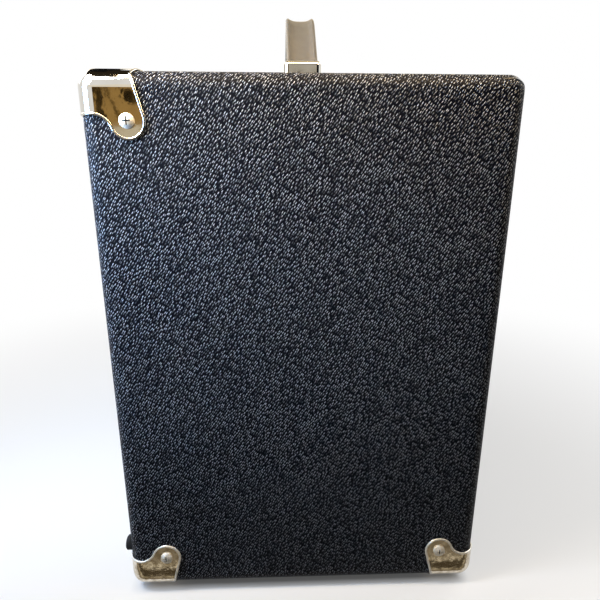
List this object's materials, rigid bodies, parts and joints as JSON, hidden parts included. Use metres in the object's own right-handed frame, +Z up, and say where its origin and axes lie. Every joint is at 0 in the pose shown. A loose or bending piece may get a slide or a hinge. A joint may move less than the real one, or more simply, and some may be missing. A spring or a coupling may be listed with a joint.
{
  "type": "tube tester",
  "caption": "Vacuum tube tester in a black vinyl-covered wooden cabinet with chrome corners and a strap handle, with meter, roll chart, sockets, knobs and test levers.",
  "frame": {"origin": "centre of the footprint on the surface it stands on", "axes": "+Z up, -Y towards the operator at the instrument panel, +X right seen from the front"},
  "size_m": [0.3666, 0.2554, 0.4097],
  "materials": {
    "board": "sanded pine board",
    "vinyl": "black grained vinyl cloth",
    "hardboard": "black stained hardboard",
    "chrome": "bright nickel chrome plate",
    "steel": "zinc plated steel",
    "strap": "glossy moulded vinyl",
    "rubber": "moulded black rubber",
    "panel": "satin anodised aluminium",
    "bakelite": "moulded black phenolic",
    "glass": "clear",
    "dial": "ivory enamel",
    "needle": "black enamel",
    "paper": "aged chart paper",
    "roller": "turned hardwood",
    "brass": "turned brass",
    "button": "red moulded plastic",
    "jewel": "red pilot jewel",
    "core": "varnished steel laminations",
    "coil": "varnished insulating paper"
  },
  "bodies": {
    "cabinet": {"back_panel": "hardboard", "bottom_feet": "rubber", "bushing_nuts": "chrome", "button_bodies": "steel", "cabinet_bottom": "board", "cabinet_left_side": "board", "cabinet_right_side": "board", "cabinet_top": "board", "chart_brackets": "steel", "chart_frame": "panel", "chart_paper": "paper", "chart_window": "glass", "cleats": "board", "control_bodies": "steel", "corner_screws": "chrome", "corners_bottom": "chrome", "corners_top": "chrome", "front_panel": "panel", "handle_bolts": "steel", "handle_caps": "chrome", "handle_strap": "strap", "lever_pivot_rod": "steel", "lever_switch_bank": "steel", "mains_inlet": "bakelite", "meter_bezel": "bakelite", "meter_case": "bakelite", "meter_dial": "dial", "meter_glass": "glass", "panel_screws": "steel", "pilot_lens": "jewel", "rear_feet": "rubber", "small_screws": "steel", "socket_four_pin": "bakelite", "socket_nine_pin": "bakelite", "socket_octal": "bakelite", "socket_seven_pin": "bakelite", "socket_six_pin": "bakelite", "toggle_body": "steel", "transformer_coil": "coil", "transformer_core": "core", "vinyl_covering": "vinyl", "wood_screws": "steel"},
    "needle": {"meter_needle": "needle"},
    "chart_lower": {"chart_roller_lower": "roller", "chart_thumbwheel": "bakelite"},
    "chart_upper": {"chart_roller_upper": "roller"},
    "power_toggle": {"toggle_lever": "chrome"},
    "filament_control": {"knob_filament": "bakelite", "shaft_filament": "brass"},
    "bias_control": {"knob_bias": "bakelite", "shaft_bias": "brass"},
    "shunt_control": {"knob_shunt": "bakelite", "shaft_shunt": "brass"},
    "lever_1": {"test_lever_1": "bakelite"},
    "lever_2": {"test_lever_2": "bakelite"},
    "lever_3": {"test_lever_3": "bakelite"},
    "lever_4": {"test_lever_4": "bakelite"},
    "button_1": {"push_button_1": "button"},
    "button_2": {"push_button_2": "button"}
  },
  "joints": [
    {"name": "needle_swing", "type": "hinge", "parent": "cabinet", "child": "needle", "pos_m": [-0.086, -0.09875, 0.2585], "axis": [0, 1, 0], "range_deg": [0, 84], "stiffness_Nm_per_rad": 0.002},
    {"name": "chart_wheel_turn", "type": "hinge", "parent": "cabinet", "child": "chart_lower", "pos_m": [0.05, -0.08575, 0.2385], "axis": [1, 0, 0], "continuous": true},
    {"name": "chart_upper_turn", "type": "hinge", "parent": "cabinet", "child": "chart_upper", "pos_m": [0.05, -0.08575, 0.3005], "axis": [1, 0, 0], "continuous": true},
    {"name": "filament_turn", "type": "hinge", "parent": "cabinet", "child": "filament_control", "pos_m": [-0.1, -0.09875, 0.0655], "axis": [0, 1, 0], "range_deg": [-150, 150]},
    {"name": "bias_turn", "type": "hinge", "parent": "cabinet", "child": "bias_control", "pos_m": [0, -0.09875, 0.0655], "axis": [0, 1, 0], "range_deg": [-150, 150]},
    {"name": "shunt_turn", "type": "hinge", "parent": "cabinet", "child": "shunt_control", "pos_m": [0.1, -0.09875, 0.0655], "axis": [0, 1, 0], "range_deg": [-150, 150]},
    {"name": "test_lever_1_tip", "type": "hinge", "parent": "cabinet", "child": "lever_1", "pos_m": [-0.105, -0.08425, 0.1215], "axis": [1, 0, 0], "range_deg": [-18, 18]},
    {"name": "test_lever_2_tip", "type": "hinge", "parent": "cabinet", "child": "lever_2", "pos_m": [-0.035, -0.08425, 0.1215], "axis": [1, 0, 0], "range_deg": [-18, 18]},
    {"name": "test_lever_3_tip", "type": "hinge", "parent": "cabinet", "child": "lever_3", "pos_m": [0.035, -0.08425, 0.1215], "axis": [1, 0, 0], "range_deg": [-18, 18]},
    {"name": "test_lever_4_tip", "type": "hinge", "parent": "cabinet", "child": "lever_4", "pos_m": [0.105, -0.08425, 0.1215], "axis": [1, 0, 0], "range_deg": [-18, 18]},
    {"name": "push_button_1_press", "type": "slide", "parent": "cabinet", "child": "button_1", "axis": [0, 1, 0], "range_m": [0, 0.004], "stiffness_N_per_m": 400},
    {"name": "push_button_2_press", "type": "slide", "parent": "cabinet", "child": "button_2", "axis": [0, 1, 0], "range_m": [0, 0.004], "stiffness_N_per_m": 400},
    {"name": "power_toggle_flip", "type": "hinge", "parent": "cabinet", "child": "power_toggle", "pos_m": [0.136, -0.0975, 0.2035], "axis": [-1, 0, 0], "range_deg": [0, 26]}
  ],
  "couplings": [
    {"joint": "chart_upper_turn", "follows": "chart_wheel_turn", "ratio": 1}
  ]
}
